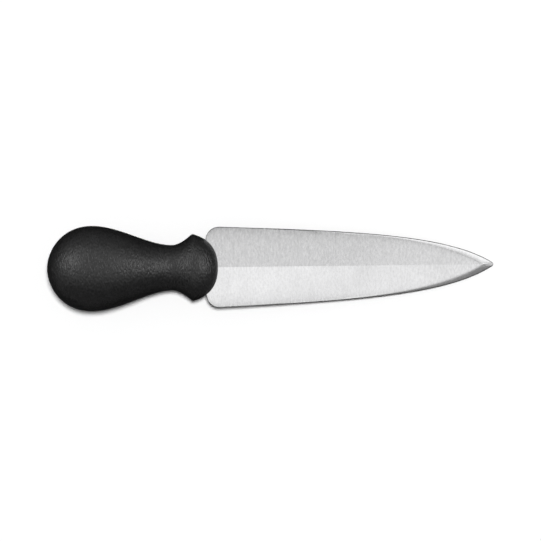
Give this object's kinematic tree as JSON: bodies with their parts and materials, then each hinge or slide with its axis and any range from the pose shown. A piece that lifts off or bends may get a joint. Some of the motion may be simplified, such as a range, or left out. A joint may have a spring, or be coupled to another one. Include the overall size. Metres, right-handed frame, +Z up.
{
  "type": "cheese knife",
  "caption": "Hard-cheese knife with a broad spear-shaped ridged steel blade and a pear-shaped black moulded handle, for prying and breaking aged cheese.",
  "frame": {"origin": "on the table under the middle of the lying knife: the bottom centre of its bounding box", "axes": "+X along the knife towards the tip, +Y across the blade, +Z up from the table; the knife lies on the bulb of its handle and on the ridge under its blade, so its own axis dips about five degrees towards the tip"},
  "size_m": [0.2574, 0.0492, 0.0422],
  "materials": {
    "blade_steel": "satin, brushed across the blade, with brighter ground bevels",
    "handle_core_plastic": "plain black first shot, not seen",
    "handle_skin_plastic": "fine pebbled mould texture with a soft sheen"
  },
  "bodies": {
    "root": {"blade": "blade_steel", "handle_core": "handle_core_plastic", "handle_skin": "handle_skin_plastic"}
  },
  "joints": []
}
